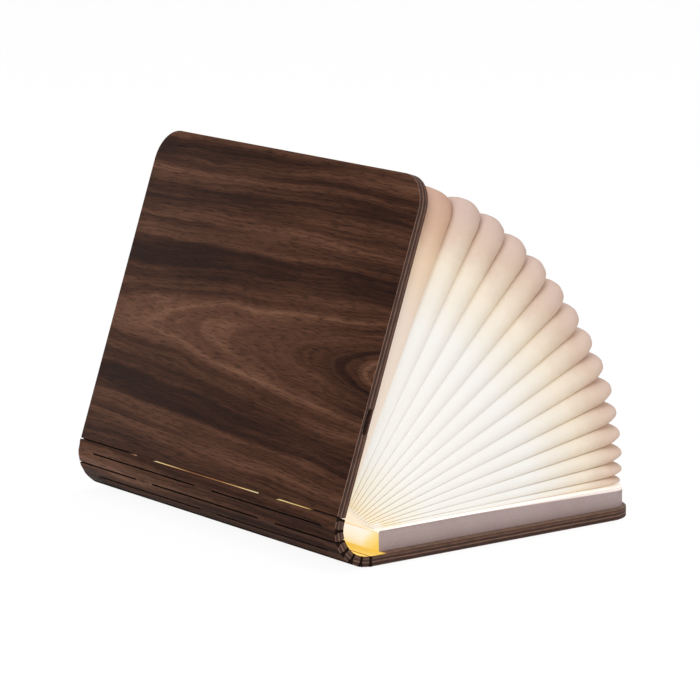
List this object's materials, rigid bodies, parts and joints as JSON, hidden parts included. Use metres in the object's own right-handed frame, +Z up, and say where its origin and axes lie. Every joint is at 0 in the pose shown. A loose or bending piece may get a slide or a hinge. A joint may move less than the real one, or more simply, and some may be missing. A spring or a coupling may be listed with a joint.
{
  "type": "folding book lamp",
  "caption": "Book-shaped folding lamp: wooden covers joined by a slit living-hinge spine, with a pleated paper fan that lights from inside when opened.",
  "frame": {"origin": "centre of the lower cover's underside, on the surface the lamp rests on", "axes": "+Y along the spine, +X from the spine to the fore edge of the lower cover, +Z up"},
  "size_m": [0.1825, 0.215, 0.1774],
  "materials": {
    "walnut_veneer": "oiled dark walnut skin, grain along the spine",
    "plywood": "dark plywood with light and dark plies on its edges",
    "fan_paper": "tear-proof white paper, lit from inside",
    "box_board": "covered grey board",
    "lid_diffuser": "milky light-passing plate",
    "inner_card": "white card",
    "cell_wrap": "soft battery pouch",
    "circuit": "circuit board with parts",
    "sensor_body": "small black sensor",
    "strip_board": "white strip board",
    "light_chip": "light chips with yellow phosphor",
    "lead_red": "insulated wire",
    "lead_white": "insulated wire",
    "flat_lead": "thin flat lead",
    "socket_steel": "pressed steel shell",
    "magnet": "plated magnet"
  },
  "bodies": {
    "lower_cover": {"back_cover_core": "plywood", "back_cover_veneer": "walnut_veneer", "back_magnets": "magnet", "box_tray": "box_board", "box_lid": "lid_diffuser", "battery": "cell_wrap", "battery_lead": "lead_red", "control_board": "circuit", "opening_sensor": "sensor_body", "led_strip": "strip_board", "led_chips": "light_chip", "led_lead": "lead_white", "hinge_web_1": "plywood", "spine_ribbon": "flat_lead"},
    "fan_turn_01": {"lobe_01": "fan_paper"},
    "strip_1": {"lobe_02": "fan_paper", "spine_slat_1": "plywood", "hinge_web_2": "plywood"},
    "fan_turn_03": {"lobe_03": "fan_paper"},
    "fan_turn_04": {"lobe_04": "fan_paper"},
    "strip_2": {"lobe_05": "fan_paper", "spine_slat_2": "plywood", "hinge_web_3": "plywood"},
    "fan_turn_06": {"lobe_06": "fan_paper"},
    "fan_turn_07": {"lobe_07": "fan_paper"},
    "strip_3": {"lobe_08": "fan_paper", "spine_slat_3": "plywood", "hinge_web_4": "plywood"},
    "fan_turn_09": {"lobe_09": "fan_paper"},
    "strip_4": {"lobe_10": "fan_paper", "spine_slat_4": "plywood", "hinge_web_5": "plywood"},
    "fan_turn_11": {"lobe_11": "fan_paper"},
    "strip_5": {"lobe_12": "fan_paper", "spine_slat_5": "plywood", "hinge_web_6": "plywood"},
    "fan_turn_13": {"lobe_13": "fan_paper"},
    "strip_6": {"lobe_14": "fan_paper", "spine_slat_6": "plywood"},
    "front_cover": {"front_cover_core": "plywood", "front_cover_veneer": "walnut_veneer", "front_magnets": "magnet", "sensor_magnet": "magnet", "charge_board": "circuit", "charge_socket": "socket_steel", "front_card": "inner_card", "lobe_15": "fan_paper", "hinge_web_7": "plywood"}
  },
  "joints": [
    {"name": "spine_turn_01", "type": "hinge", "parent": "lower_cover", "child": "fan_turn_01", "pos_m": [-0.0811, 0, 0.0025], "axis": [0, -1, 0], "range_deg": [-1.5, 6.09], "deforming": ["lobe_01", "hinge_web_1", "spine_ribbon"]},
    {"name": "spine_turn_02", "type": "hinge", "parent": "fan_turn_01", "child": "strip_1", "pos_m": [-0.0811, 0, 0.0025], "axis": [0, -1, 0], "range_deg": [-2.51, 10.2], "deforming": ["lobe_02"]},
    {"name": "spine_turn_03", "type": "hinge", "parent": "strip_1", "child": "fan_turn_03", "pos_m": [-0.08656, 0, 0.00319], "axis": [0, -1, 0], "range_deg": [-3.12, 12.68], "deforming": ["lobe_03", "hinge_web_2"]},
    {"name": "spine_turn_04", "type": "hinge", "parent": "fan_turn_03", "child": "fan_turn_04", "pos_m": [-0.08656, 0, 0.00319], "axis": [0, -1, 0], "range_deg": [-3.59, 14.61], "deforming": ["lobe_04"]},
    {"name": "spine_turn_05", "type": "hinge", "parent": "fan_turn_04", "child": "strip_2", "pos_m": [-0.08656, 0, 0.00319], "axis": [0, -1, 0], "range_deg": [-3.99, 16.25], "deforming": ["lobe_05"]},
    {"name": "spine_turn_06", "type": "hinge", "parent": "strip_2", "child": "fan_turn_06", "pos_m": [-0.09163, 0, 0.00532], "axis": [0, -1, 0], "range_deg": [-4.34, 17.68], "deforming": ["lobe_06", "hinge_web_3"]},
    {"name": "spine_turn_07", "type": "hinge", "parent": "fan_turn_06", "child": "fan_turn_07", "pos_m": [-0.09163, 0, 0.00532], "axis": [0, -1, 0], "range_deg": [-4.66, 18.96], "deforming": ["lobe_07"]},
    {"name": "spine_turn_08", "type": "hinge", "parent": "fan_turn_07", "child": "strip_3", "pos_m": [-0.09163, 0, 0.00532], "axis": [0, -1, 0], "range_deg": [-4.95, 20.14], "deforming": ["lobe_08"]},
    {"name": "spine_turn_09", "type": "hinge", "parent": "strip_3", "child": "fan_turn_09", "pos_m": [-0.0956, 0, 0.00913], "axis": [0, -1, 0], "range_deg": [-5.22, 21.23], "deforming": ["lobe_09", "hinge_web_4"]},
    {"name": "spine_turn_10", "type": "hinge", "parent": "fan_turn_09", "child": "strip_4", "pos_m": [-0.0956, 0, 0.00913], "axis": [0, -1, 0], "range_deg": [-5.47, 22.24], "deforming": ["lobe_10"]},
    {"name": "spine_turn_11", "type": "hinge", "parent": "strip_4", "child": "fan_turn_11", "pos_m": [-0.09826, 0, 0.01394], "axis": [0, -1, 0], "range_deg": [-5.7, 23.2], "deforming": ["lobe_11", "hinge_web_5"]},
    {"name": "spine_turn_12", "type": "hinge", "parent": "fan_turn_11", "child": "strip_5", "pos_m": [-0.09826, 0, 0.01394], "axis": [0, -1, 0], "range_deg": [-5.92, 24.1], "deforming": ["lobe_12"]},
    {"name": "spine_turn_13", "type": "hinge", "parent": "strip_5", "child": "fan_turn_13", "pos_m": [-0.09915, 0, 0.01937], "axis": [0, -1, 0], "range_deg": [-6.13, 24.96], "deforming": ["lobe_13", "hinge_web_6"]},
    {"name": "spine_turn_14", "type": "hinge", "parent": "fan_turn_13", "child": "strip_6", "pos_m": [-0.09915, 0, 0.01937], "axis": [0, -1, 0], "range_deg": [-6.33, 25.78], "deforming": ["lobe_14"]},
    {"name": "cover_turn", "type": "hinge", "parent": "strip_6", "child": "front_cover", "pos_m": [-0.09793, 0, 0.02473], "axis": [0, -1, 0], "range_deg": [-7.59, 30.9], "deforming": ["lobe_15", "hinge_web_7"]}
  ],
  "couplings": [
    {"joint": "spine_turn_01", "follows": "cover_turn", "ratio": 0.19693},
    {"joint": "spine_turn_02", "follows": "cover_turn", "ratio": 0.33003},
    {"joint": "spine_turn_03", "follows": "cover_turn", "ratio": 0.41023},
    {"joint": "spine_turn_04", "follows": "cover_turn", "ratio": 0.47288},
    {"joint": "spine_turn_05", "follows": "cover_turn", "ratio": 0.52569},
    {"joint": "spine_turn_06", "follows": "cover_turn", "ratio": 0.57201},
    {"joint": "spine_turn_07", "follows": "cover_turn", "ratio": 0.61365},
    {"joint": "spine_turn_08", "follows": "cover_turn", "ratio": 0.6517},
    {"joint": "spine_turn_09", "follows": "cover_turn", "ratio": 0.6869},
    {"joint": "spine_turn_10", "follows": "cover_turn", "ratio": 0.71977},
    {"joint": "spine_turn_11", "follows": "cover_turn", "ratio": 0.75069},
    {"joint": "spine_turn_12", "follows": "cover_turn", "ratio": 0.77994},
    {"joint": "spine_turn_13", "follows": "cover_turn", "ratio": 0.80775},
    {"joint": "spine_turn_14", "follows": "cover_turn", "ratio": 0.83429}
  ]
}
